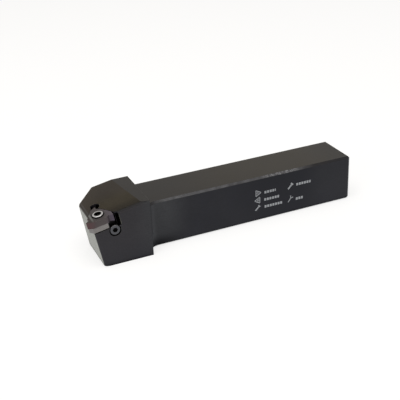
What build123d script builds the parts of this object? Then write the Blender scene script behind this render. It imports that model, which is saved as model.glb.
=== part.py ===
from build123d import *
import os
from math import cos, radians, sin, sqrt, tan

# External threading tool holder with a lay-down insert. Millimetres and degrees.
# The head points to -X, its cutting side is -Y, and the shank stands on Z = 0.
# The origin is the centre of the shank's bottom face.

# Shank and head
shank_width = 25.0
shank_height = 25.0
overall_length = 150.0  # rear end to the thread tip
head_length = 32.0  # step behind the head to the thread tip
cutting_side_reach = 32.0  # back face to the head's cutting side
head_rise = 5.0  # raised top of the head above the shank
step_land = 1.0  # flat between the hollow corner and the cutting side
shank_chamfer = 1.05
corner_along = 10.4  # bevelled front corner, along the shank
corner_across = 11.8  # the same corner, across the shank
near_edge_radius = 2.0  # rounded upper edge on the cutting side
front_edge_round = 1.2  # front face to the sloping top
toe_rise = 0.5  # bevel under the front face
toe_run = 2.6

# Insert seat
seat_slope = 10.0  # down towards the front
helix_tilt = 1.5  # down towards the cutting side
insert_sink = 0.1  # insert face below the head's sloping face
tip_overhang = 2.25  # thread tip beyond the front face
wall_gap = 0.03  # insert and shim to the pocket walls
relief_radius = 2.4  # round reliefs at two corners of the pocket
relief_ahead = 0.5  # relief centre beyond the tooth that it clears
relief_sink = 0.4  # relief below the pocket floor
pocket_angle = 60.0  # between the pocket's two walls

# Insert
inscribed_circle = 9.525
insert_thickness = 3.52
tooth_setback = 1.0  # tooth tip behind the sharp corner
tooth_offset = 1.7  # tooth centre line in from the insert's side
tooth_angle = 60.0
tooth_depth = 2.0
trough_start = 5.2  # from the sharp corner, along the side
trough_radius = 0.5
nose_radius = 0.15

# Shim under the insert
shim_thickness = 3.0
shim_corner = 3.2  # each corner cut back, along the side
shim_inset = 0.15  # shim's side behind the insert's side
shim_notch_back = 2.9  # notch for the shim screw, behind the centre
shim_break = 0.25

# Insert screw, M3.5 with a 60 degree head
screw_diameter = 3.5
screw_length = 12.0
screw_head_diameter = 5.4
screw_head_angle = 60.0
screw_head_rim = 1.3  # straight rim above the cone
screw_head_proud = 0.65  # above the insert
screw_head_round = 0.35  # rounded rim
screw_socket = 3.3  # across the lobes
screw_socket_depth = 1.6

# Shim screw, M3 with a flat head, square to the cutting side
shim_screw_diameter = 3.0
shim_screw_length = 8.0
shim_screw_head_diameter = 5.2
shim_screw_head_thickness = 1.9
shim_screw_sink = 0.3  # head below the cutting side
shim_screw_back = 5.1  # behind the insert's centre
shim_screw_down = 8.8  # below the insert's face
shim_screw_socket = 2.75
shim_screw_socket_depth = 1.2

# Fits shared by both screws
head_gap = 0.45  # recess round a screw head
bore_gap = 0.35  # hole in the insert and the shim round the screw
thread_gap = 0.05
bearing_gap = 0.02  # between faces that bear on each other
drill_past = 1.5  # tapped hole beyond the screw's end
lobes = 6  # in a driver socket
lobe_depth = 0.24  # of the socket's outer radius
rim_chamfer = 0.2

# Positions worked out from the sizes above
shank_length = overall_length - head_length
rear_x = shank_length / 2
step_x = -shank_length / 2
tip_x = rear_x - overall_length
back_y = shank_width / 2
side_y = back_y - cutting_side_reach
shank_side_y = back_y - shank_width
step_radius = shank_side_y - side_y - step_land  # hollow corner where the head widens
top_z = shank_height + head_rise
inradius = inscribed_circle / 2
corner_u = inradius * sqrt(3)
tip_u = corner_u - tooth_setback
tip_v = inradius - tooth_offset
front_u = tip_u - tip_overhang
half_tooth = tan(radians(tooth_angle / 2))
floor_depth = insert_thickness + shim_thickness
past = 2 * shank_height  # longer than anything that a cut has to clear
on_face = 0.01  # an edge this close to a face lies on it
down = (Align.CENTER, Align.CENTER, Align.MAX)
up = (Align.CENTER, Align.CENTER, Align.MIN)


def seat_plane():
    """The insert's top face: x forwards, y to the cutting side, z up."""
    slope = tan(radians(seat_slope))
    tilt = tan(radians(helix_tilt))
    forward = Vector(-cos(radians(seat_slope)), 0, -sin(radians(seat_slope)))
    turned = Plane(origin=(0, 0, 0), x_dir=forward, z_dir=(-slope, -tilt, 1))
    lean = turned.x_dir * tip_u + turned.y_dir * tip_v
    centre_y = side_y - turned.y_dir.Y * inradius
    centre = Vector(tip_x - lean.X, centre_y, shank_height - lean.Z)
    return Plane(origin=centre, x_dir=turned.x_dir, z_dir=turned.z_dir)


seat = seat_plane()


def spun(point, degrees):
    """A point of the seat plane, turned about the insert's centre."""
    c = cos(radians(degrees))
    s = sin(radians(degrees))
    return (point[0] * c - point[1] * s, point[0] * s + point[1] * c)


def on_seat(shape, depth=0.0):
    """Lay a shape drawn on the XY plane onto the seat, depth below the insert's face."""
    return seat.offset(-depth).location * shape


def shim_screw_frame():
    """Centre of the shim screw on the cutting side: z points out of the holder."""
    point = seat.from_local_coords(Vector(-shim_screw_back, 0, -shim_screw_down))
    return Plane(origin=(point.X, side_y, point.Z), x_dir=(1, 0, 0), z_dir=(0, -1, 0))


shim_seat = shim_screw_frame()


def shank():
    """Square bar with bevelled edges that flares into the head's step."""
    inside_x = step_x - step_radius
    outline = Polyline(
        (inside_x, side_y), (inside_x, back_y), (rear_x, back_y), (rear_x, shank_side_y),
        (step_x, shank_side_y), (step_x, side_y), (inside_x, side_y),
    )
    plan = make_face(outline)
    hollow = plan.vertices().sort_by_distance((step_x, shank_side_y, 0))[0]
    plan = fillet(hollow, step_radius)
    bar = extrude(plan, shank_height)
    rims = bar.faces().filter_by(Axis.Z).edges()
    long_edges = rims.filter_by(lambda edge: edge.center().X > step_x)
    corners = bar.edges().filter_by(Axis.Z).filter_by(lambda edge: edge.center().X > rear_x - on_face)
    return chamfer(long_edges + corners, shank_chamfer)


def head_plan():
    """The head seen from above, with its bevelled corner, ahead of the front face."""
    beyond_x = tip_x - tip_overhang
    slant = corner_across / corner_along
    front_x = seat.from_local_coords(Vector(front_u, 0, 0)).X
    corner_x = front_x + corner_along
    beyond_y = back_y - (corner_x - beyond_x) * slant
    return make_face(Polyline(
        (step_x, side_y), (step_x, back_y), (corner_x, back_y), (beyond_x, beyond_y),
        (beyond_x, side_y), (step_x, side_y),
    ))


def head():
    """Raised block, sloped to the front and relieved under the thread tip."""
    lump = extrude(head_plan(), top_z)
    lump -= on_seat(Pos(0, 0, past / 2) * Box(2 * past, 2 * past, past), -insert_sink)
    lump -= on_seat(Pos(front_u + past / 2, 0, 0) * Box(past, 2 * past, 2 * past))
    upper = lump.edges().filter_by(lambda edge: abs(edge.center().Y - side_y) < on_face)
    upper = upper.filter_by(lambda edge: edge.bounding_box().min.Z > shank_height - head_rise)
    upper = upper.filter_by(lambda edge: edge.bounding_box().size.X > head_rise)
    lump = fillet(upper, near_edge_radius)
    lower = lump.edges().filter_by(lambda edge: edge.bounding_box().max.Z < on_face)
    back = lower.filter_by(lambda edge: abs(edge.center().Y - back_y) < on_face)
    lump = chamfer(back, shank_chamfer)
    front = lump.faces().sort_by(lambda face: face.normal_at().dot(seat.x_dir))[-1]
    rims = front.edges().sort_by(Axis.Z)
    lump = chamfer(rims[0], toe_rise, toe_run, reference=front)
    front = lump.faces().sort_by(lambda face: face.normal_at().dot(seat.x_dir))[-1]
    top = front.edges().filter_by(lambda edge: abs(edge.tangent_at().dot(seat.z_dir)) < on_face)
    return fillet(top.sort_by(Axis.Z)[-1], front_edge_round)


def pocket():
    """What is cut away for the insert, the shim and both screws."""
    apex = -2 * (inradius + wall_gap)
    end = apex + shank_width
    half = shank_width * tan(radians(pocket_angle / 2))
    wedge = make_face(Polyline((0, apex), (half, end), (-half, end), (0, apex)))
    cut = on_seat(extrude(wedge, past), floor_depth)
    for turn in (120, 240):
        centre = Pos(*spun((tip_u + relief_ahead, tip_v), turn))
        cut += on_seat(centre * Cylinder(relief_radius, past, align=up), floor_depth + relief_sink)
    tapped = Cylinder(screw_diameter / 2 + thread_gap, screw_length + drill_past, align=down)
    cut += on_seat(tapped)
    head_end = shim_screw_sink + shim_screw_head_thickness + bearing_gap
    recess = Cylinder(shim_screw_head_diameter / 2 + head_gap, head_end, align=down)
    tapped_end = head_end + shim_screw_length + drill_past
    tapped = Cylinder(shim_screw_diameter / 2 + thread_gap, tapped_end, align=down)
    return cut + shim_seat.location * (recess + tapped)


def holder_body():
    """Shank and head in one piece of steel, with the pocket cut in."""
    return shank() + head() - pocket()


def insert_outline():
    """Points of a triangle with a trough and a thread tooth at each corner."""
    bottom = (tip_u - tooth_depth, tip_v - tooth_depth * half_tooth)
    flank_end = (tip_u - tooth_offset / half_tooth, inradius)
    start = spun((trough_start - corner_u, inradius), -120)
    points = []
    for turn in (0, 120, 240):
        points += [spun(point, turn) for point in (start, bottom, (tip_u, tip_v), flank_end)]
    return points


def threading_insert():
    """Lay-down insert with three edges and a countersunk hole."""
    points = insert_outline()
    face = make_face(Polyline(*points, points[0]))
    corners = face.vertices()
    troughs = [corners.sort_by_distance((*points[i], 0))[0] for i in (1, 5, 9)]
    face = fillet(troughs, trough_radius)
    corners = face.vertices()
    noses = [corners.sort_by_distance((*points[i], 0))[0] for i in (2, 6, 10)]
    face = fillet(noses, nose_radius)
    plate = extrude(face, -insert_thickness)
    return on_seat(plate - insert_hole())


def insert_screw_form():
    """Insert screw without its socket, above the XY plane by what stands proud."""
    head_radius = screw_head_diameter / 2
    shank_radius = screw_diameter / 2
    rim_foot = screw_head_proud - screw_head_rim
    cone_foot = rim_foot - (head_radius - shank_radius) / tan(radians(screw_head_angle / 2))
    foot = screw_head_proud - screw_length
    profile = Polyline(
        (0, screw_head_proud), (head_radius, screw_head_proud), (head_radius, rim_foot),
        (shank_radius, cone_foot), (shank_radius, foot), (0, foot), (0, screw_head_proud),
    )
    return revolve(Plane.XZ * make_face(profile), Axis.Z)


def insert_hole():
    """Countersunk hole whose mouth opens past the screw's rim."""
    steep = tan(radians(screw_head_angle / 2))
    bore_radius = screw_diameter / 2 + bore_gap
    mouth_radius = screw_head_diameter / 2 + bearing_gap + (screw_head_rim - screw_head_proud) * steep
    cone_foot = -(mouth_radius - bore_radius) / steep
    profile = Polyline(
        (0, 0), (mouth_radius, 0), (bore_radius, cone_foot),
        (bore_radius, -insert_thickness), (0, -insert_thickness), (0, 0),
    )
    return revolve(Plane.XZ * make_face(profile), Axis.Z)


def six_lobe_socket(across, depth):
    """A six-lobed driver socket, cut down from the XY plane."""
    outer = across / 2
    inner = outer * (1 - lobe_depth)
    points = []
    for step in range(2 * lobes):
        radius = inner if step % 2 else outer
        points.append(spun((radius, 0), step * 180 / lobes))
    star = make_face(Spline(*points, periodic=True))
    return extrude(star, -depth)


def insert_screw():
    """Countersunk screw through the insert and the shim into the holder."""
    screw = insert_screw_form()
    screw = chamfer(screw.edges().filter_by(GeomType.CIRCLE).sort_by(Axis.Z)[0], rim_chamfer)
    screw = fillet(screw.edges().filter_by(GeomType.CIRCLE).sort_by(Axis.Z)[-1], screw_head_round)
    screw -= Pos(0, 0, screw_head_proud) * six_lobe_socket(screw_socket, screw_socket_depth)
    return on_seat(screw)


def shim():
    """Carbide plate under the insert, notched for the shim screw."""
    along = corner_u - shim_corner
    points = []
    for turn in (0, 120, 240):
        edge = inradius - (wall_gap if turn else shim_inset)
        points += [spun((along, edge), turn), spun((-along, edge), turn)]
    plate = extrude(make_face(Polyline(*points, points[0])), -shim_thickness)
    plate = chamfer(plate.faces().sort_by(Axis.Z)[0].edges(), shim_break)
    plate -= Cylinder(screw_diameter / 2 + bore_gap, past)
    notch_v = inradius - shim_screw_sink - shim_screw_head_thickness
    aside = (Align.MAX, Align.MIN, Align.CENTER)
    notch = Pos(-shim_notch_back, notch_v) * Box(past, past, past, align=aside)
    return on_seat(plate - notch, insert_thickness)


def shim_screw():
    """Short screw whose head laps the shim's notch."""
    head_foot = -shim_screw_sink - shim_screw_head_thickness
    cap = Cylinder(shim_screw_head_diameter / 2, shim_screw_head_thickness, align=up)
    cap = chamfer(cap.edges().sort_by(Axis.Z)[-1], rim_chamfer)
    stem = Cylinder(shim_screw_diameter / 2, shim_screw_length, align=down)
    stem = chamfer(stem.edges().sort_by(Axis.Z)[0], rim_chamfer)
    socket = six_lobe_socket(shim_screw_socket, shim_screw_socket_depth)
    screw = Pos(0, 0, head_foot) * (cap + stem) - Pos(0, 0, -shim_screw_sink) * socket
    return shim_seat.location * screw


PIECES = {
    "holder_body": holder_body,
    "threading_insert": threading_insert,
    "shim": shim,
    "insert_screw": insert_screw,
    "shim_screw": shim_screw,
}

os.makedirs("parts", exist_ok=True)
for name, make in PIECES.items():
    export_step(make(), f"parts/{name}.step")
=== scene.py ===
"""Finish, etched marks, light and camera for a holder for external threading inserts."""
import math

import bmesh
import bpy
from mathutils import Matrix, Vector


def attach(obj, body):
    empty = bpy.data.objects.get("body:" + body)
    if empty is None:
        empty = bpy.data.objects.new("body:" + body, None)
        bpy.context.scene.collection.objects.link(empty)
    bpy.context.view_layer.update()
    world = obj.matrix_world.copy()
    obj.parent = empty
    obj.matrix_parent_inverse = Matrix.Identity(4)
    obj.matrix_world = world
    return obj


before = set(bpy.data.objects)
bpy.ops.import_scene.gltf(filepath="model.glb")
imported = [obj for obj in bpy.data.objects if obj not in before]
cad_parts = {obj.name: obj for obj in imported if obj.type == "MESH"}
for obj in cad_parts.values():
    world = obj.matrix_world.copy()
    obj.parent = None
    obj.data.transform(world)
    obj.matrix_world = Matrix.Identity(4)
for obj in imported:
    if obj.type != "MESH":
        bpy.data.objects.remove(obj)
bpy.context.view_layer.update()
MM = 0.001

# Places on the body, in millimetres
STEP_X = -59.0  # where the head meets the shank
HEAD_END_X = -58.8  # just behind the step
SHANK_SIDE_Y = -12.5  # the shank's cutting side
SHANK_TOP_Z = 25.0
SHANK_BEVEL = 1.05

# Centres of the screws' tops and of the insert's top face, in metres
INSERT_SCREW_TOP = (-0.0839878, -0.0147558, 0.0269764)
SHIM_SCREW_TOP = (-0.0773248, -0.0192, 0.0185587)
SEAT_CENTRE = (-0.0838749, -0.0147391, 0.0263365)

# Directions
UP = (0.0, 0.0, 1.0)
CUTTING_SIDE = (0.0, -1.0, 0.0)
SEAT_UP = (-0.17359, -0.02578, 0.98448)  # square to the insert's top face
SEAT_FORWARD = (-0.98481, 0.0, -0.17365)  # down the head's slope, square to its front face
NEAR_ROUND = (-0.06, -0.70, 0.71)  # part way round the head's upper edge on the cutting side
ROUND_SHOULDER = (-0.12, -0.56, 0.82)  # the same round, a little nearer the top
FRONT_ROUND = (-0.819, -0.018, 0.573)  # part way round the head's front upper edge
FRONT_CORNER = (-0.696, -0.707, -0.123)  # half way between the front face and the cutting side


# ---------------------------------------------------------------- camera

LENS = 74.955
SENSOR_WIDTH = 36.0
CAMERA_PLACE = (-0.175068, -0.358608, 0.207626)
CAMERA_RIGHT = (0.91289, -0.40597, -0.04273)
CAMERA_BACK = (-0.34599, -0.82504, 0.44676)


def aim_camera():
    """Three-quarter view from the cutting side, from a little above."""
    data = bpy.data.cameras.new("camera")
    data.lens = LENS
    data.sensor_width = SENSOR_WIDTH
    camera = bpy.data.objects.new("camera", data)
    right = Vector(CAMERA_RIGHT).normalized()
    back = Vector(CAMERA_BACK)
    back = (back - right * back.dot(right)).normalized()
    up = back.cross(right)
    turn = Matrix((right, up, back)).transposed().to_4x4()
    camera.matrix_world = Matrix.Translation(CAMERA_PLACE) @ turn
    bpy.context.collection.objects.link(camera)
    bpy.context.scene.camera = camera


# ---------------------------------------------------------------- node helpers

NUMBER = "NodeSocketFloat"
DIRECTION = "NodeSocketVector"
COLOUR = "NodeSocketColor"

# Where a mix node keeps its colour sockets
MIX_AMOUNT = 0
MIX_FIRST = 6
MIX_SECOND = 7
MIX_RESULT = 2

BLACK = (0.0, 0.0, 0.0, 1.0)
WHITE = (1.0, 1.0, 1.0, 1.0)


def feed(tree, value, socket):
    """Link a socket to the one that drives it, or set it to a plain value."""
    if isinstance(value, bpy.types.NodeSocket):
        tree.links.new(value, socket)
    else:
        socket.default_value = value


def calc(tree, operation, *values):
    """A math node fed by sockets or plain numbers."""
    made = tree.nodes.new("ShaderNodeMath")
    made.operation = operation
    for value, socket in zip(values, made.inputs):
        feed(tree, value, socket)
    return made.outputs[0]


def product(tree, first, *others):
    """Numbers multiplied together."""
    result = first
    for value in others:
        result = calc(tree, "MULTIPLY", result, value)
    return result


def greatest(tree, first, *others):
    """The greatest of some numbers."""
    result = first
    for value in others:
        result = calc(tree, "MAXIMUM", result, value)
    return result


def inverse(tree, mask):
    """1 where a mask is 0, and 0 where it is 1."""
    return calc(tree, "SUBTRACT", 1.0, mask)


def aim_calc(tree, operation, output, *values):
    """One output of a vector math node fed by sockets or plain directions."""
    made = tree.nodes.new("ShaderNodeVectorMath")
    made.operation = operation
    for value, socket in zip(values, made.inputs):
        feed(tree, value, socket)
    return made.outputs[output]


def blend(tree, amount, first, second):
    """Mix of two colours."""
    made = tree.nodes.new("ShaderNodeMix")
    made.data_type = "RGBA"
    feed(tree, amount, made.inputs[MIX_AMOUNT])
    feed(tree, first, made.inputs[MIX_FIRST])
    feed(tree, second, made.inputs[MIX_SECOND])
    return made.outputs[MIX_RESULT]


def ramp(tree, value, start, whole):
    """0 up to the start and 1 from the whole on, smooth between; the start may be the greater."""
    made = tree.nodes.new("ShaderNodeMapRange")
    made.interpolation_type = "SMOOTHSTEP"
    feed(tree, value, made.inputs["Value"])
    feed(tree, start, made.inputs["From Min"])
    feed(tree, whole, made.inputs["From Max"])
    return made.outputs["Result"]


def stretch(tree, value, start, whole):
    """A ramp between two places or distances in millimetres."""
    return ramp(tree, value, start * MM, whole * MM)


def cloud(tree, place, scale, detail=2.0, rough=0.5):
    """Noise over the part, scale in lumps a metre."""
    made = tree.nodes.new("ShaderNodeTexNoise")
    feed(tree, place, made.inputs["Vector"])
    feed(tree, scale, made.inputs["Scale"])
    feed(tree, detail, made.inputs["Detail"])
    feed(tree, rough, made.inputs["Roughness"])
    return made.outputs["Fac"]


def part_point(tree, output):
    """A point's place on the part, Object, or the way its face looks, Normal."""
    return tree.nodes.new("ShaderNodeTexCoord").outputs[output]


def apart(tree, place):
    """The three coordinates of a place."""
    made = tree.nodes.new("ShaderNodeSeparateXYZ")
    feed(tree, place, made.inputs[0])
    return list(made.outputs)


def distance_along(tree, place, centre, axis):
    """How far a place lies from a centre, measured along an axis."""
    offset = aim_calc(tree, "SUBTRACT", "Vector", place, centre)
    return aim_calc(tree, "DOT_PRODUCT", "Value", offset, axis)


def facing_share(tree, facing, direction, start, whole):
    """1 on faces that look one way, 0 on the others; start and whole are cosines."""
    return ramp(tree, aim_calc(tree, "DOT_PRODUCT", "Value", facing, direction), start, whole)


# ---------------------------------------------------------------- shared finishes

BEVEL_SAMPLES = 6
SHADE_SAMPLES = 8
BROAD_LUMPS = 60.0
GRINDING_LUMPS = 220.0
GRINDING_SQUEEZE = (1.0, 14.0, 14.0)  # draws the grinding lines out along the shank
GRINDING_DEPTH = 1.5  # how much the lines count for in the height
BENT_SPAN = (0.02, 0.16)  # how far a softened normal turns at an edge
CHIP_SPAN = (0.36, 0.62)
HIGHLIGHT_STRIP_FRONT = (4.4, 4.0)  # the painted highlight strip's two edges, in millimetres ahead of the seat's centre
HIGHLIGHT_STRIP_BACK = (3.2, 3.6)
HIGHLIGHT_STRIP_FACES = (SEAT_UP, 0.80, 0.90)


def new_group(name, inputs, outputs):
    """An empty shader group; a number, direction or colour gives each input its kind and start."""
    group = bpy.data.node_groups.new(name, "ShaderNodeTree")
    kinds = {3: DIRECTION, 4: COLOUR}
    for label, value in inputs.items():
        kind = kinds[len(value)] if isinstance(value, tuple) else NUMBER
        socket = group.interface.new_socket(label, in_out="INPUT", socket_type=kind)
        socket.default_value = value
    for label, kind in outputs.items():
        group.interface.new_socket(label, in_out="OUTPUT", socket_type=kind)
    source = group.nodes.new("NodeGroupInput")
    target = group.nodes.new("NodeGroupOutput")
    return group, source.outputs, target.inputs


def make_grain():
    """Fine mottle and grinding lines: a tone near 0.5, a height, and a roughness that follows the tone."""
    group, source, target = new_group(
        "steel_grain",
        {"Lumps": 900.0, "Lines": 0.5, "Least Roughness": 0.3, "Roughness Spread": 0.15},
        {"Tone": NUMBER, "Height": NUMBER, "Roughness": NUMBER})
    place = part_point(group, "Object")
    fine = cloud(group, place, source["Lumps"], 4.0, 0.6)
    drawn_out = group.nodes.new("ShaderNodeMapping")
    drawn_out.inputs["Scale"].default_value = GRINDING_SQUEEZE
    feed(group, place, drawn_out.inputs["Vector"])
    lines = cloud(group, drawn_out.outputs["Vector"], GRINDING_LUMPS, 3.0, 0.55)
    broad = cloud(group, place, BROAD_LUMPS)
    lined = product(group, calc(group, "SUBTRACT", lines, 0.5), source["Lines"])
    tone = calc(group, "ADD", product(group, fine, 0.5), lined)
    tone = calc(group, "ADD", tone, product(group, broad, 0.5))
    feed(group, tone, target["Tone"])
    height = calc(group, "ADD", fine, product(group, lined, GRINDING_DEPTH))
    feed(group, height, target["Height"])
    rough = calc(group, "ADD", source["Least Roughness"], product(group, tone, source["Roughness Spread"]))
    feed(group, rough, target["Roughness"])
    return group


def make_mottle():
    """A colour that is darker where the grain's tone is low; Depth is the share taken off."""
    group, source, target = new_group(
        "tone_mottle", {"Colour": WHITE, "Tone": 0.5, "Low": 0.25, "High": 0.8, "Depth": 0.3},
        {"Colour": COLOUR})
    spots = ramp(group, source["Tone"], source["Low"], source["High"])
    dulled = blend(group, source["Depth"], source["Colour"], BLACK)
    feed(group, blend(group, spots, dulled, source["Colour"]), target["Colour"])
    return group


def make_edge():
    """Mask of outer edges, broken up by wear, and a normal that softens them."""
    group, source, target = new_group(
        "edge_wear", {"Width": 0.4 * MM, "Amount": 1.0, "Chips": 700.0},
        {"Mask": NUMBER, "Normal": DIRECTION})
    soft = group.nodes.new("ShaderNodeBevel")
    soft.samples = BEVEL_SAMPLES
    feed(group, source["Width"], soft.inputs["Radius"])
    plain = group.nodes.new("ShaderNodeNewGeometry").outputs["Normal"]
    turn = aim_calc(group, "DOT_PRODUCT", "Value", soft.outputs["Normal"], plain)
    bent = ramp(group, inverse(group, turn), *BENT_SPAN)
    chips = cloud(group, part_point(group, "Object"), source["Chips"], 4.0, 0.65)
    pale_marks = product(group, bent, ramp(group, chips, *CHIP_SPAN), source["Amount"])
    feed(group, pale_marks, target["Mask"])
    feed(group, soft.outputs["Normal"], target["Normal"])
    return group


def make_corner_shade():
    """Mask of tight corners and recesses, from ambient occlusion, for painted shade."""
    group, source, target = new_group(
        "painted_corner_shade", {"Reach": 2.0 * MM, "Low": 0.35, "High": 0.85}, {"Mask": NUMBER})
    shade = group.nodes.new("ShaderNodeAmbientOcclusion")
    shade.samples = SHADE_SAMPLES
    feed(group, source["Reach"], shade.inputs["Distance"])
    span = group.nodes.new("ShaderNodeMapRange")
    feed(group, shade.outputs["AO"], span.inputs["Value"])
    feed(group, source["Low"], span.inputs["From Min"])
    feed(group, source["High"], span.inputs["From Max"])
    feed(group, inverse(group, span.outputs["Result"]), target["Mask"])
    return group


def make_highlight_strip():
    """Mask of a narrow painted highlight strip that runs just behind the head's front upper edge, where a
    rounded edge catches the light.
    """
    group, source, target = new_group("painted_highlight_strip", {"Amount": 1.0}, {"Mask": NUMBER})
    ahead = distance_along(group, part_point(group, "Object"), SEAT_CENTRE, SEAT_FORWARD)
    sloping = facing_share(group, part_point(group, "Normal"), *HIGHLIGHT_STRIP_FACES)
    highlight_band = product(group, stretch(group, ahead, *HIGHLIGHT_STRIP_BACK), stretch(group, ahead, *HIGHLIGHT_STRIP_FRONT), sloping)
    feed(group, product(group, highlight_band, source["Amount"]), target["Mask"])
    return group


def make_bore_shade():
    """Mask of what lies close to an axis: 1 nearer to it than Inner, 0 past Outer; it places painted shade
    in a socket or round a screw's head.
    """
    group, source, target = new_group(
        "painted_bore_shade", {"Centre": (0.0, 0.0, 0.0), "Axis": UP, "Outer": 2.0 * MM, "Inner": 1.7 * MM},
        {"Mask": NUMBER})
    offset = aim_calc(group, "SUBTRACT", "Vector", part_point(group, "Object"), source["Centre"])
    across = aim_calc(group, "CROSS_PRODUCT", "Vector", offset, source["Axis"])
    away = aim_calc(group, "LENGTH", "Value", across)
    feed(group, ramp(group, away, source["Outer"], source["Inner"]), target["Mask"])
    return group


GRAIN = make_grain()
MOTTLE = make_mottle()
EDGE = make_edge()
CORNER_SHADE = make_corner_shade()
HIGHLIGHT_STRIP = make_highlight_strip()
BORE_SHADE = make_bore_shade()


def place_group(tree, group, **values):
    """Outputs of a shared finish, placed in a material with its own values."""
    made = tree.nodes.new("ShaderNodeGroup")
    made.node_tree = group
    for label, value in values.items():
        feed(tree, value, made.inputs[label.replace("_", " ")])
    return made.outputs


def blank(name, **values):
    """A material with one principled shader: the material, its tree and the shader's inputs."""
    material = bpy.data.materials.new(name)
    material.use_nodes = True
    tree = material.node_tree
    shader = tree.nodes["Principled BSDF"].inputs
    for label, value in values.items():
        shader[label.replace("_", " ")].default_value = value
    return material, tree, shader


def bump(tree, shader, height, distance, strength, softened):
    """Fine relief on top of the softened edges."""
    made = tree.nodes.new("ShaderNodeBump")
    made.inputs["Strength"].default_value = strength
    made.inputs["Distance"].default_value = distance
    feed(tree, height, made.inputs["Height"])
    feed(tree, softened, made.inputs["Normal"])
    feed(tree, made.outputs["Normal"], shader["Normal"])


# ---------------------------------------------------------------- blackened steel

# Colours of the black oxide and of the light and shade painted on it; each pair is what a slow mottle varies
# between
UPRIGHT_COOL = ((0.0135, 0.0135, 0.0200, 1.0), (0.0165, 0.0165, 0.0215, 1.0))
UPRIGHT_DARKEST = (0.0005, 0.0005, 0.0055, 1.0)
# Painted sheen: paler cool greys laid on the cutting side near the step and on the head
PAINTED_SHEEN_HEAD = (0.0375, 0.0345, 0.0400, 1.0)
PAINTED_SHEEN_STEP = (0.0560, 0.0580, 0.0640, 1.0)
TOP_REAR = ((0.0100, 0.0062, 0.0010, 1.0), (0.0120, 0.0085, 0.0030, 1.0))
TOP_FRONT = ((0.0012, 0.0003, 0.0001, 1.0), (0.0028, 0.0010, 0.0002, 1.0))
TOP_REAR_END = (0.0030, 0.0015, 0.0003, 1.0)
SLOPE_BROWN = ((0.0450, 0.0355, 0.0275, 1.0), (0.0500, 0.0410, 0.0320, 1.0))
SLOPE_OLIVE = ((0.0420, 0.0330, 0.0170, 1.0), (0.0485, 0.0390, 0.0235, 1.0))
SLOPE_DARK_OLIVE = (0.0225, 0.0170, 0.0080, 1.0)
# Painted reflection: the pale grey stands for a bright surround mirrored in the head's front face
FRONT_REFLECTION_GREY = (0.290, 0.294, 0.240, 1.0)
# Grey of worn edges, also used for the painted highlights on the bevel and behind the front edge
WORN_AND_HIGHLIGHT_GREY = (0.222, 0.226, 0.242, 1.0)
# Painted shade: the near black laid where the body is shaded
SHADE_BLACK = (0.0010, 0.0008, 0.0007, 1.0)

# Lumps a metre, and where a lump's noise starts to count and counts in full
BODY_LUMPS = 45.0
SLOPE_LUMPS = 80.0
FLECK_LUMPS = 1500.0
UNEVEN_LUMPS = 260.0
LUMP_SPAN = (0.35, 0.65)
FLECK_SPAN = (0.46, 0.60)
UNEVEN_SPAN = (0.25, 0.75)

# Faces of the body, each by the way it looks and the cosines where its mask starts and is whole
LEVEL_FACES = (UP, 0.6, 0.9)
SIDE_FACES = (CUTTING_SIDE, 0.6, 0.95)
SLOPE_FACES = (SEAT_UP, 0.988, 0.997)
SLOPE_FRONT_FACES = (FRONT_ROUND, 0.78, 0.90)
FRONT_FACES = (SEAT_FORWARD, 0.93, 0.985)
UNWORN_ROUND_FACES = (NEAR_ROUND, 0.72, 0.84)
SHOULDER_FACES = (ROUND_SHOULDER, 0.88, 0.97)
CORNER_FACES = (FRONT_CORNER, 0.78, 0.88)
OUTSIDE_FACES = (  # the pocket's painted shade stays off these
    (CUTTING_SIDE, 0.90, 0.97),
    (SEAT_FORWARD, 0.90, 0.97),
    (NEAR_ROUND, 0.80, 0.88),
    (FRONT_ROUND, 0.80, 0.88),
)

# How strongly each tone, painted shade and painted highlight shows, and how metallic the worn and
# highlighted steel turns
MIDDLE_SHARE = 0.8
SHEEN_SHARE = 0.88
FLECK_SHARE = 0.65
DULL_LEAST = 0.15
DULL_SPREAD = 0.22
CORNER_SHADE_SHARE = 0.9
FOOT_SHADE_SHARE = 0.75
SHOULDER_SHADE_SHARE = 0.30
HIGHLIGHT_STRIP_SHARE = 0.13
BARED_SHARE = 0.5
SHADE_ROUGHNESS = 0.45

# Places where tones change, in millimetres: where a tone starts and where it is whole
UNWORN_FROM_STEP = (1.6, 1.2)
MIDDLE_FRONT_X = (-20.0, 12.0)
MIDDLE_REAR_X = (46.0, 26.0)
SHEEN_X = (-34.0, -50.0)
SHEEN_Z = (-10.0, 20.0)
SHEEN_STEP_X = (-70.0, -55.0)
TOP_REAR_X = (-50.0, 0.0)
TOP_END_X = (34.0, 56.0)
OLIVE_Y = (4.0, -9.0)
OLIVE_X = (-87.0, -81.0)
DARK_OLIVE_Y = (-11.0, -17.2)
POCKET_SHADE_BELOW = (-0.45, -0.9)  # under the insert's top face
POCKET_SHADE_RADIUS = 12.5  # about the seat's centre
CORNER_AHEAD = (1.0, 2.0)
FOOT_FRONT_X = (-60.0, -58.5)
FOOT_REAR_X = (-33.0, -57.0)
FOOT_Y = (-9.5, -12.0)
FOOT_Z = (7.5, 1.0)
BEVEL_BAND_MARGIN = 0.12  # either side of the bevel's own edges
BEVEL_BAND_FRONT_X = (-57.5, -54.5)
BRIGHT_FRONT_X = (3.0, 13.0)
BRIGHT_REAR_X = (30.0, 23.0)
DULL_FRONT_X = (-59.0, -45.0)
DULL_REAR_X = (38.0, 26.0)


def slow_mottle(tree, place, scale, pair):
    """A colour that wanders between two near tones."""
    return blend(tree, ramp(tree, cloud(tree, place, scale), *LUMP_SPAN), *pair)


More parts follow.
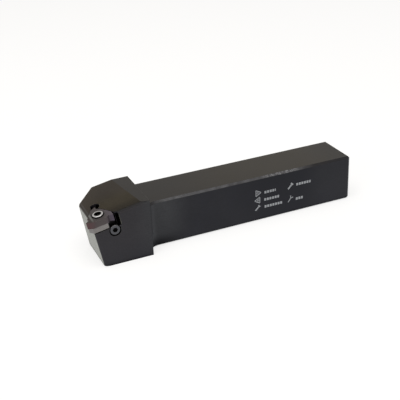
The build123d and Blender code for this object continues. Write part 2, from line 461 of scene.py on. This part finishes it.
def side_tone(tree, place, facing, x, z):
    """Cool black of upright faces, darkest along the shank's middle, with a painted sheen that makes the
    side paler near the step and on the head.
    """
    cool = slow_mottle(tree, place, BODY_LUMPS, UPRIGHT_COOL)
    middle = product(tree, stretch(tree, x, *MIDDLE_FRONT_X), stretch(tree, x, *MIDDLE_REAR_X))
    cool = blend(tree, product(tree, middle, MIDDLE_SHARE), cool, UPRIGHT_DARKEST)
    # Painted sheen on the cutting side: whole over the head and just behind the step, fading out along the
    # shank, stronger higher up
    sheen = product(tree, stretch(tree, x, *SHEEN_X), stretch(tree, z, *SHEEN_Z),
                       facing_share(tree, facing, *SIDE_FACES))
    sheen_colour = blend(tree, stretch(tree, x, *SHEEN_STEP_X), PAINTED_SHEEN_HEAD, PAINTED_SHEEN_STEP)
    return blend(tree, product(tree, sheen, SHEEN_SHARE), cool, sheen_colour)


def top_tone(tree, place, x):
    """Warm black of level faces, darker towards the head and at the rear end."""
    rear = slow_mottle(tree, place, BODY_LUMPS, TOP_REAR)
    front = slow_mottle(tree, place, BODY_LUMPS, TOP_FRONT)
    skin = blend(tree, stretch(tree, x, *TOP_REAR_X), front, rear)
    return blend(tree, stretch(tree, x, *TOP_END_X), skin, TOP_REAR_END)


def slope_tone(tree, place, x, y):
    """Brown film on the head's slope, olive and darker towards the pocket."""
    brown = slow_mottle(tree, place, SLOPE_LUMPS, SLOPE_BROWN)
    olive = slow_mottle(tree, place, SLOPE_LUMPS, SLOPE_OLIVE)
    beside_pocket = product(tree, stretch(tree, y, *OLIVE_Y), stretch(tree, x, *OLIVE_X))
    film = blend(tree, beside_pocket, brown, olive)
    return blend(tree, stretch(tree, y, *DARK_OLIVE_Y), film, SLOPE_DARK_OLIVE)


def pocket_shade(tree, place, facing):
    """Painted shade: 1 on the pocket's walls, floor and round reliefs, 0 on the outside of the head."""
    below = stretch(tree, distance_along(tree, place, SEAT_CENTRE, SEAT_UP), *POCKET_SHADE_BELOW)
    near = calc(tree, "LESS_THAN", aim_calc(tree, "DISTANCE", "Value", place, SEAT_CENTRE), POCKET_SHADE_RADIUS * MM)
    ahead = distance_along(tree, place, SEAT_CENTRE, SEAT_FORWARD)
    corner = product(tree, facing_share(tree, facing, *CORNER_FACES), stretch(tree, ahead, *CORNER_AHEAD))
    outside = greatest(tree, corner, *(facing_share(tree, facing, *faces) for faces in OUTSIDE_FACES))
    return product(tree, below, near, inverse(tree, outside))


def step_foot_shade(tree, x, y, z):
    """Painted shade: 1 low on the shank's side, beside the step, fading along it and upwards."""
    along = product(tree, stretch(tree, x, *FOOT_FRONT_X), stretch(tree, x, *FOOT_REAR_X))
    return product(tree, along, stretch(tree, y, *FOOT_Y), stretch(tree, z, *FOOT_Z))


def bevel_wear_and_highlight(tree, place, x, y, z):
    """Pale band on the shank's upper bevel, cutting side, partly wear and partly painted highlight: dull
    along most of it, bright flecks in the middle where the highlight is strongest.
    """
    inner_y = SHANK_SIDE_Y + SHANK_BEVEL
    lower_z = SHANK_TOP_Z - SHANK_BEVEL
    band = product(tree,
                   stretch(tree, y, inner_y + BEVEL_BAND_MARGIN, inner_y - BEVEL_BAND_MARGIN),
                   stretch(tree, z, lower_z - BEVEL_BAND_MARGIN, lower_z + BEVEL_BAND_MARGIN),
                   stretch(tree, x, *BEVEL_BAND_FRONT_X))
    bright = product(tree, stretch(tree, x, *BRIGHT_FRONT_X), stretch(tree, x, *BRIGHT_REAR_X))
    flecks = ramp(tree, cloud(tree, place, FLECK_LUMPS, 3.0, 0.7), *FLECK_SPAN)
    uneven = ramp(tree, cloud(tree, place, UNEVEN_LUMPS, 3.0, 0.6), *UNEVEN_SPAN)
    dull = product(tree, calc(tree, "ADD", DULL_LEAST, product(tree, uneven, DULL_SPREAD)),
                   stretch(tree, x, *DULL_FRONT_X), stretch(tree, x, *DULL_REAR_X))
    return product(tree, band, calc(tree, "ADD", product(tree, bright, flecks, FLECK_SHARE), dull))


def blackened_steel():
    """Satin black oxide, browned on the head's slope, worn to grey on its edges, with painted shade in the
    pocket, corners, shoulder and beside the step, and painted highlights and reflections on the side near
    the step, the bevel, the front face and behind the front edge.
    """
    material, tree, shader = blank("blackened_steel", Specular_IOR_Level=0.27)
    place = part_point(tree, "Object")
    facing = part_point(tree, "Normal")
    x, y, z = apart(tree, place)
    grain = place_group(tree, GRAIN, Lumps=1400.0, Lines=0.35, Least_Roughness=0.30, Roughness_Spread=0.12)
    edge = place_group(tree, EDGE, Width=0.35 * MM, Amount=0.16, Chips=900.0)
    # Painted shade in tight corners and recesses
    shaded_corners = place_group(tree, CORNER_SHADE, Reach=4.0 * MM, Low=0.25, High=0.8)
    # Painted highlight: a pale strip just behind the head's front upper edge
    highlight_band = place_group(tree, HIGHLIGHT_STRIP, Amount=HIGHLIGHT_STRIP_SHARE)
    on_head = calc(tree, "LESS_THAN", x, HEAD_END_X * MM)

    slope = greatest(tree, facing_share(tree, facing, *SLOPE_FACES),
                     facing_share(tree, facing, *SLOPE_FRONT_FACES))
    skin = blend(tree, facing_share(tree, facing, *LEVEL_FACES),
                 side_tone(tree, place, facing, x, z), top_tone(tree, place, x))
    skin = blend(tree, slope, skin, slope_tone(tree, place, x, y))
    skin = place_group(tree, MOTTLE, Colour=skin, Tone=grain["Tone"],
                       Low=0.3, High=0.75, Depth=0.35)["Colour"]
    # Painted reflection: faces looking the way of the front face take the pale grey
    skin = blend(tree, facing_share(tree, facing, *FRONT_FACES), skin, FRONT_REFLECTION_GREY)

    from_step = calc(tree, "ABSOLUTE", calc(tree, "SUBTRACT", x, STEP_X * MM))
    unworn = greatest(tree, product(tree, facing_share(tree, facing, *UNWORN_ROUND_FACES), on_head),
                      stretch(tree, from_step, *UNWORN_FROM_STEP))
    # Edge wear, the bevel's band of wear and painted highlight, and the painted highlight strip, all taken
    # to the grey
    pale_marks = greatest(tree, product(tree, edge["Mask"], inverse(tree, unworn)),
                    bevel_wear_and_highlight(tree, place, x, y, z), highlight_band["Mask"])
    colour = blend(tree, pale_marks, skin, WORN_AND_HIGHLIGHT_GREY)

    # Painted shade: the shoulder of the head's upper round on the cutting side is darkened, standing in for
    # a dark reflection
    shoulder_shade = product(tree, facing_share(tree, facing, *SHOULDER_FACES), on_head)
    # Painted shade from the corners, pocket, step foot and shoulder, taken to the near black and made
    # rougher
    painted_shade = greatest(tree,
                    product(tree, shaded_corners["Mask"], CORNER_SHADE_SHARE),
                    pocket_shade(tree, place, facing),
                    product(tree, step_foot_shade(tree, x, y, z), FOOT_SHADE_SHARE),
                    product(tree, shoulder_shade, SHOULDER_SHADE_SHARE))
    feed(tree, blend(tree, painted_shade, colour, SHADE_BLACK), shader["Base Color"])
    metal = greatest(tree, product(tree, pale_marks, BARED_SHARE), painted_shade, slope)
    feed(tree, metal, shader["Metallic"])
    rough = calc(tree, "ADD", grain["Roughness"], product(tree, painted_shade, SHADE_ROUGHNESS))
    feed(tree, rough, shader["Roughness"])
    bump(tree, shader, grain["Height"], distance=0.04 * MM, strength=0.3, softened=edge["Normal"])
    return material


# ---------------------------------------------------------------- carbide

# Colours of the insert's coating: at the cutting corner, behind it, and at the rear
COATING_SIDE = ((0.122, 0.066, 0.068, 1.0), (0.112, 0.093, 0.092, 1.0), (0.100, 0.080, 0.108, 1.0))
COATING_TOP = ((0.036, 0.028, 0.025, 1.0), (0.055, 0.046, 0.048, 1.0), (0.085, 0.070, 0.088, 1.0))
COATING_WORN = (0.22, 0.19, 0.19, 1.0)
COATING_CORNER_SHADE = (0.010, 0.008, 0.008, 1.0)
COATING_HIGHLIGHT = (0.150, 0.155, 0.148, 1.0)
COATING_SHADE = (0.003, 0.0025, 0.0025, 1.0)
COATING_TOP_FACES = (SEAT_UP, 0.75, 0.95)
COATING_CORNER_SHADE_SHARE = 0.7

# Colours of the shim
SHIM_TONES = ((0.195, 0.180, 0.170, 1.0), (0.36, 0.338, 0.322, 1.0))
SHIM_WORN = (0.45, 0.43, 0.41, 1.0)
SHIM_CORNER_SHADE = (0.02, 0.017, 0.015, 1.0)
SHIM_SHADE = (0.004, 0.0035, 0.0035, 1.0)
SHIM_TONE_SPAN = (0.25, 0.8)
SHIM_CORNER_SHADE_SHARE = 0.75

# Places where they change, in millimetres
COATING_BEHIND_X = (-89.5, -85.5)
COATING_REAR_X = (-82.5, -77.5)
COATING_HIGHLIGHT_Y = (-20.5, -15.5)
SCREW_SHADE_OUTER = 3.38  # from the insert screw's axis
SCREW_SHADE_INNER = 3.06
SHIM_SHADE_AHEAD = (-2.5, -2.8)  # of the seat's centre; the notch for the shim screw starts at -2.9


def coated_carbide():
    """Thin hard coating, brown at the cutting corner and violet at the rear, with painted shade round the
    screw and a painted highlight line across its top.
    """
    material, tree, shader = blank("coated_carbide", Metallic=0.3, Specular_IOR_Level=0.3)
    facing = part_point(tree, "Normal")
    x, y = apart(tree, part_point(tree, "Object"))[:2]
    grain = place_group(tree, GRAIN, Lumps=3500.0, Lines=0.1, Least_Roughness=0.34, Roughness_Spread=0.12)
    edge = place_group(tree, EDGE, Width=0.12 * MM, Amount=0.35, Chips=2500.0)
    shaded_corners = place_group(tree, CORNER_SHADE, Reach=1.5 * MM, Low=0.3, High=0.8)
    highlight_band = place_group(tree, HIGHLIGHT_STRIP, Amount=0.8)
    countersink_shade = place_group(tree, BORE_SHADE, Centre=INSERT_SCREW_TOP, Axis=SEAT_UP,
                       Outer=SCREW_SHADE_OUTER * MM, Inner=SCREW_SHADE_INNER * MM)

    behind = stretch(tree, x, *COATING_BEHIND_X)
    at_rear = stretch(tree, x, *COATING_REAR_X)
    side = blend(tree, at_rear, blend(tree, behind, *COATING_SIDE[:2]), COATING_SIDE[2])
    top = blend(tree, at_rear, blend(tree, behind, *COATING_TOP[:2]), COATING_TOP[2])
    skin = blend(tree, facing_share(tree, facing, *COATING_TOP_FACES), side, top)
    skin = place_group(tree, MOTTLE, Colour=skin, Tone=grain["Tone"],
                       Low=0.25, High=0.8, Depth=0.3)["Colour"]
    colour = blend(tree, edge["Mask"], skin, COATING_WORN)
    # Painted shade in the insert's corners
    colour = blend(tree, product(tree, shaded_corners["Mask"], COATING_CORNER_SHADE_SHARE), colour, COATING_CORNER_SHADE)
    # Painted highlight: the strip behind the head's front edge carried on across the insert's top, fading
    # towards the cutting side
    highlight_line = product(tree, highlight_band["Mask"], stretch(tree, y, *COATING_HIGHLIGHT_Y))
    colour = blend(tree, highlight_line, colour, COATING_HIGHLIGHT)
    # Painted shade: the countersink and a thin ring round the insert screw's head are darkened
    colour = blend(tree, countersink_shade["Mask"], colour, COATING_SHADE)
    feed(tree, colour, shader["Base Color"])
    feed(tree, grain["Roughness"], shader["Roughness"])
    bump(tree, shader, grain["Height"], distance=0.01 * MM, strength=0.3, softened=edge["Normal"])
    return material


def bare_carbide():
    """Ground carbide, satin grey with faint speckle, with painted shade from its notch back and in its
    corners.
    """
    material, tree, shader = blank("bare_carbide", Metallic=0.7, Specular_IOR_Level=0.5)
    grain = place_group(tree, GRAIN, Lumps=2600.0, Lines=0.5, Least_Roughness=0.36, Roughness_Spread=0.16)
    edge = place_group(tree, EDGE, Width=0.15 * MM, Amount=0.6, Chips=2500.0)
    shaded_corners = place_group(tree, CORNER_SHADE, Reach=1.2 * MM, Low=0.25, High=0.75)
    colour = blend(tree, ramp(tree, grain["Tone"], *SHIM_TONE_SPAN), *SHIM_TONES)
    colour = blend(tree, edge["Mask"], colour, SHIM_WORN)
    # Painted shade in the shim's corners
    colour = blend(tree, product(tree, shaded_corners["Mask"], SHIM_CORNER_SHADE_SHARE), colour, SHIM_CORNER_SHADE)
    # Painted shade: the shim is darkened from just ahead of its notch back, where it lies in the slot
    ahead = distance_along(tree, part_point(tree, "Object"), SEAT_CENTRE, SEAT_FORWARD)
    colour = blend(tree, stretch(tree, ahead, *SHIM_SHADE_AHEAD), colour, SHIM_SHADE)
    feed(tree, colour, shader["Base Color"])
    feed(tree, grain["Roughness"], shader["Roughness"])
    bump(tree, shader, grain["Height"], distance=0.01 * MM, strength=0.4, softened=edge["Normal"])
    return material


# ---------------------------------------------------------------- screws and marks

SOCKET_SHADE = (0.006, 0.005, 0.005, 1.0)
SOCKET_FADE = 0.3  # width over which the socket's painted shade begins, in millimetres
SOCKET_ROUGHNESS = 0.3
RIM_SHARE = 0.5
TOP_COSINES = (0.25, 0.60)  # to the screw's axis: a face below the first is a wall, above the second a top
ETCHED_TONES = ((0.275, 0.290, 0.315, 1.0), (0.475, 0.500, 0.540, 1.0))
ETCHED_SPAN = (0.25, 0.75)


def screw_steel(name, light, rim, centre, axis, socket_radius):
    """Turned steel, brightest on its rim, with painted shade down in the socket and on its walls."""
    material, tree, shader = blank(name, Metallic=0.9, Specular_IOR_Level=0.5)
    facing = part_point(tree, "Normal")
    grain = place_group(tree, GRAIN, Lumps=4000.0, Lines=0.2, Least_Roughness=0.24, Roughness_Spread=0.14)
    edge = place_group(tree, EDGE, Width=0.12 * MM, Amount=0.6, Chips=3000.0)
    socket = place_group(tree, BORE_SHADE, Centre=centre, Axis=axis,
                         Outer=socket_radius * MM, Inner=(socket_radius - SOCKET_FADE) * MM)
    # Painted shade: the socket and the faces that are not tops are darkened to near black and made rougher
    wall = inverse(tree, facing_share(tree, facing, axis, *TOP_COSINES))
    socket_and_wall_shade = greatest(tree, socket["Mask"], wall)
    skin = place_group(tree, MOTTLE, Colour=light, Tone=grain["Tone"],
                       Low=0.25, High=0.8, Depth=0.25)["Colour"]
    colour = blend(tree, product(tree, edge["Mask"], RIM_SHARE), skin, rim)
    feed(tree, blend(tree, socket_and_wall_shade, colour, SOCKET_SHADE), shader["Base Color"])
    rough = calc(tree, "ADD", grain["Roughness"], product(tree, socket_and_wall_shade, SOCKET_ROUGHNESS))
    feed(tree, rough, shader["Roughness"])
    bump(tree, shader, grain["Height"], distance=0.01 * MM, strength=0.3, softened=edge["Normal"])
    return material


def etched_grey():
    """Pale laser-etched surface with a fine broken tone."""
    material, tree, shader = blank("etched_grey", Metallic=0.0, Specular_IOR_Level=0.4)
    grain = place_group(tree, GRAIN, Lumps=5000.0, Lines=0.3, Least_Roughness=0.5, Roughness_Spread=0.2)
    tone = ramp(tree, grain["Tone"], *ETCHED_SPAN)
    feed(tree, blend(tree, tone, *ETCHED_TONES), shader["Base Color"])
    feed(tree, grain["Roughness"], shader["Roughness"])
    return material


def paint_node(name, material):
    """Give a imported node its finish."""
    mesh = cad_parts[name].data
    mesh.materials.clear()
    mesh.materials.append(material)


# ---------------------------------------------------------------- etched marks

# All in millimetres on the shank's side
MARK_RISE = 0.02  # how far the marks stand out
MARK_SINK = 0.03  # how far they reach in
LINE_WIDTH = 0.42
HOLE_LINE_WIDTH = 0.3
INSERT_SIGN_SIZE = 2.0
HOLE_SHARE = 0.22  # the sign's hole against its size
HOLE_POINTS = 14
KEY_SIGN_SIZE = 1.35
BLOCK_PITCH = 1.55
BLOCK_WIDTH = 1.15
BLOCK_HEIGHT = 1.4
LEAST_BLOCK = 0.4
BLANK_ROWS = (  # each row's start and end along the shank, and the height of its middle
    (6.7, 13.4, 15.8),
    (6.5, 15.3, 11.6),
    (6.7, 17.9, 7.5),
    (25.7, 34.4, 16.0),
    (25.5, 29.9, 7.6),
)


def plate(mesh, points):
    """A thin closed plate on the shank's side, from points (x, z)."""
    outer = [mesh.verts.new((x * MM, (SHANK_SIDE_Y - MARK_RISE) * MM, z * MM)) for x, z in points]
    inner = [mesh.verts.new((x * MM, (SHANK_SIDE_Y + MARK_SINK) * MM, z * MM)) for x, z in points]
    mesh.faces.new(outer)
    mesh.faces.new(list(reversed(inner)))
    count = len(points)
    for i in range(count):
        j = (i + 1) % count
        mesh.faces.new((outer[i], inner[i], inner[j], outer[j]))


def stroke(mesh, start, end, width):
    """A straight bar between two points."""
    run = end[0] - start[0]
    rise = end[1] - start[1]
    length = math.hypot(run, rise)
    nx = -rise / length * width / 2
    nz = run / length * width / 2
    plate(mesh, [(start[0] - nx, start[1] - nz), (end[0] - nx, end[1] - nz),
                 (end[0] + nx, end[1] + nz), (start[0] + nx, start[1] + nz)])


def outline(mesh, points, width):
    """A closed line of bars."""
    for i, point in enumerate(points):
        stroke(mesh, point, points[(i + 1) % len(points)], width)


def turned(points, centre, degrees, size):
    """Points of a small drawing set down at a place, turned and scaled."""
    cosine = math.cos(math.radians(degrees))
    sine = math.sin(math.radians(degrees))
    return [(centre[0] + size * (x * cosine - z * sine), centre[1] + size * (x * sine + z * cosine))
            for x, z in points]


def ring(radius, count):
    """Points round a circle."""
    return [(radius * math.cos(2 * math.pi * i / count), radius * math.sin(2 * math.pi * i / count))
            for i in range(count)]


def insert_sign(mesh, centre, turn):
    """Triangle with a round hole."""
    corners = [(1.0, 0.0), (-0.5, 0.866), (-0.5, -0.866)]
    outline(mesh, turned(corners, centre, turn, INSERT_SIGN_SIZE), LINE_WIDTH)
    outline(mesh, turned(ring(HOLE_SHARE, HOLE_POINTS), centre, 0, INSERT_SIGN_SIZE), HOLE_LINE_WIDTH)


def screw_sign(mesh, centre, turn, length, size):
    """Screw seen from the side."""
    head = [(-0.2, -0.55), (0.35, -0.55), (0.35, 0.55), (-0.2, 0.55)]
    plate(mesh, turned([(x + length / 2, z) for x, z in head], centre, turn, size))
    stem = [(-length / 2, -0.28), (length / 2 - 0.25, -0.28), (length / 2 - 0.25, 0.28), (-length / 2, 0.28)]
    plate(mesh, turned(stem, centre, turn, size))


def key_sign(mesh, centre, turn):
    """Driver with a forked grip."""
    points = [(-1.5, 0.0), (0.4, 0.0), (1.3, 0.7), (1.3, -0.7)]
    tip, fork, left, right = turned(points, centre, turn, KEY_SIGN_SIZE)
    stroke(mesh, tip, fork, LINE_WIDTH)
    stroke(mesh, fork, left, LINE_WIDTH)
    stroke(mesh, fork, right, LINE_WIDTH)


def blank_line(mesh, start, end, middle):
    """A row of plain blocks where a line of marking would be."""
    low = middle - BLOCK_HEIGHT / 2
    high = middle + BLOCK_HEIGHT / 2
    x = start
    while x < end - LEAST_BLOCK:
        far = x + min(BLOCK_WIDTH, end - x)
        plate(mesh, [(x, low), (far, low), (far, high), (x, high)])
        x += BLOCK_PITCH


def etched_marks():
    """Small signs for the insert, the shim, the screws and the key, with plain rows beside them."""
    mesh = bmesh.new()
    insert_sign(mesh, centre=(2.7, 16.2), turn=0)
    insert_sign(mesh, centre=(2.9, 12.0), turn=180)
    screw_sign(mesh, centre=(2.4, 7.4), turn=45, length=2.4, size=1.3)
    screw_sign(mesh, centre=(21.9, 15.5), turn=47, length=2.1, size=1.6)
    key_sign(mesh, centre=(22.0, 8.2), turn=52)
    for start, end, middle in BLANK_ROWS:
        blank_line(mesh, start, end, middle)
    bmesh.ops.recalc_face_normals(mesh, faces=mesh.faces)
    data = bpy.data.meshes.new("etched_marks")
    mesh.to_mesh(data)
    mesh.free()
    marks = bpy.data.objects.new("etched_marks", data)
    bpy.context.collection.objects.link(marks)
    data.materials.append(etched_grey())
    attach(marks, "root")


# ---------------------------------------------------------------- floor, light

FLOOR_HALF_WIDTH = 4.0
FLOOR_DROP = 0.05  # below the part's base, in millimetres
FLOOR_LIT = (0.62, 0.62, 0.62, 1.0)  # as it lights the part
FLOOR_SEEN = (0.34, 0.34, 0.34, 1.0)  # as the camera sees it, with a glow added
FLOOR_GLOW = 0.71
FLOOR_MIRRORED = (0.94, 0.96, 1.0, 1.0)
SURROUND_LIT = (1.0, 0.960, 0.905, 1.0)
SURROUND_LIGHT = 0.45
MIRRORED_EXTRA = 0.32  # added where the surround is seen in a gloss


def mirrored_rays(tree, path):
    """1 for rays that come by way of a gloss or through glass."""
    return greatest(tree, path["Is Glossy Ray"], path["Is Transmission Ray"])


def lay_floor():
    """Pale flat floor that shows near white and keeps a soft shadow."""
    mesh = bmesh.new()
    bmesh.ops.create_grid(mesh, x_segments=1, y_segments=1, size=FLOOR_HALF_WIDTH)
    data = bpy.data.meshes.new("floor")
    mesh.to_mesh(data)
    mesh.free()
    floor = bpy.data.objects.new("floor", data)
    floor.location = (0.0, 0.0, -FLOOR_DROP * MM)
    bpy.context.collection.objects.link(floor)
    material, tree, shader = blank("pale_floor", Roughness=0.9, Specular_IOR_Level=0.0, Emission_Color=WHITE)
    path = tree.nodes.new("ShaderNodeLightPath").outputs
    feed(tree, blend(tree, path["Is Camera Ray"], FLOOR_LIT, FLOOR_SEEN), shader["Base Color"])
    feed(tree, product(tree, path["Is Camera Ray"], FLOOR_GLOW), shader["Emission Strength"])
    mirrored = tree.nodes.new("ShaderNodeEmission")
    mirrored.inputs["Color"].default_value = FLOOR_MIRRORED
    both = tree.nodes.new("ShaderNodeMixShader")
    feed(tree, mirrored_rays(tree, path), both.inputs[0])
    feed(tree, tree.nodes["Principled BSDF"].outputs["BSDF"], both.inputs[1])
    feed(tree, mirrored.outputs["Emission"], both.inputs[2])
    feed(tree, both.outputs["Shader"], tree.nodes["Material Output"].inputs["Surface"])
    data.materials.append(material)


def softbox(name, place, target, size, power, colour):
    """A rectangular area lamp aimed at a point."""
    data = bpy.data.lights.new(name, "AREA")
    data.shape = "RECTANGLE"
    data.size, data.size_y = size
    data.energy = power
    data.color = colour
    lamp = bpy.data.objects.new(name, data)
    lamp.location = place
    lamp.rotation_euler = (Vector(target) - Vector(place)).to_track_quat("-Z", "Y").to_euler()
    bpy.context.collection.objects.link(lamp)


def light_studio():
    """Warm surround that shows white, with an overhead softbox and a fill from the head's end."""
    world = bpy.data.worlds.new("surround")
    bpy.context.scene.world = world
    world.use_nodes = True
    tree = world.node_tree
    path = tree.nodes.new("ShaderNodeLightPath").outputs
    strength = calc(tree, "ADD", SURROUND_LIGHT, product(tree, mirrored_rays(tree, path), MIRRORED_EXTRA))
    strength = greatest(tree, strength, path["Is Camera Ray"])
    sky = tree.nodes["Background"].inputs
    feed(tree, blend(tree, path["Is Camera Ray"], SURROUND_LIT, WHITE), sky["Color"])
    feed(tree, strength, sky["Strength"])
    softbox("overhead", place=(-0.1, -0.15, 0.9), target=(-0.02, 0.0, 0.0),
            size=(0.9, 0.7), power=5.0, colour=(1.0, 0.98, 0.95))
    softbox("left_fill", place=(-0.9, -0.5, 0.45), target=(-0.05, 0.0, 0.01),
            size=(0.6, 0.6), power=2.0, colour=(0.97, 0.98, 1.0))


aim_camera()
light_studio()
lay_floor()
paint_node("holder_body", blackened_steel())
paint_node("threading_insert", coated_carbide())
paint_node("shim", bare_carbide())
paint_node("insert_screw", screw_steel(
    "bright_screw", light=(0.63, 0.63, 0.64, 1.0), rim=(0.85, 0.84, 0.83, 1.0),
    centre=INSERT_SCREW_TOP, axis=SEAT_UP, socket_radius=2.05))
paint_node("shim_screw", screw_steel(
    "grey_screw", light=(0.115, 0.115, 0.12, 1.0), rim=(0.26, 0.26, 0.27, 1.0),
    centre=SHIM_SCREW_TOP, axis=CUTTING_SIDE, socket_radius=1.36))
etched_marks()

bpy.context.scene.view_settings.view_transform = "Standard"
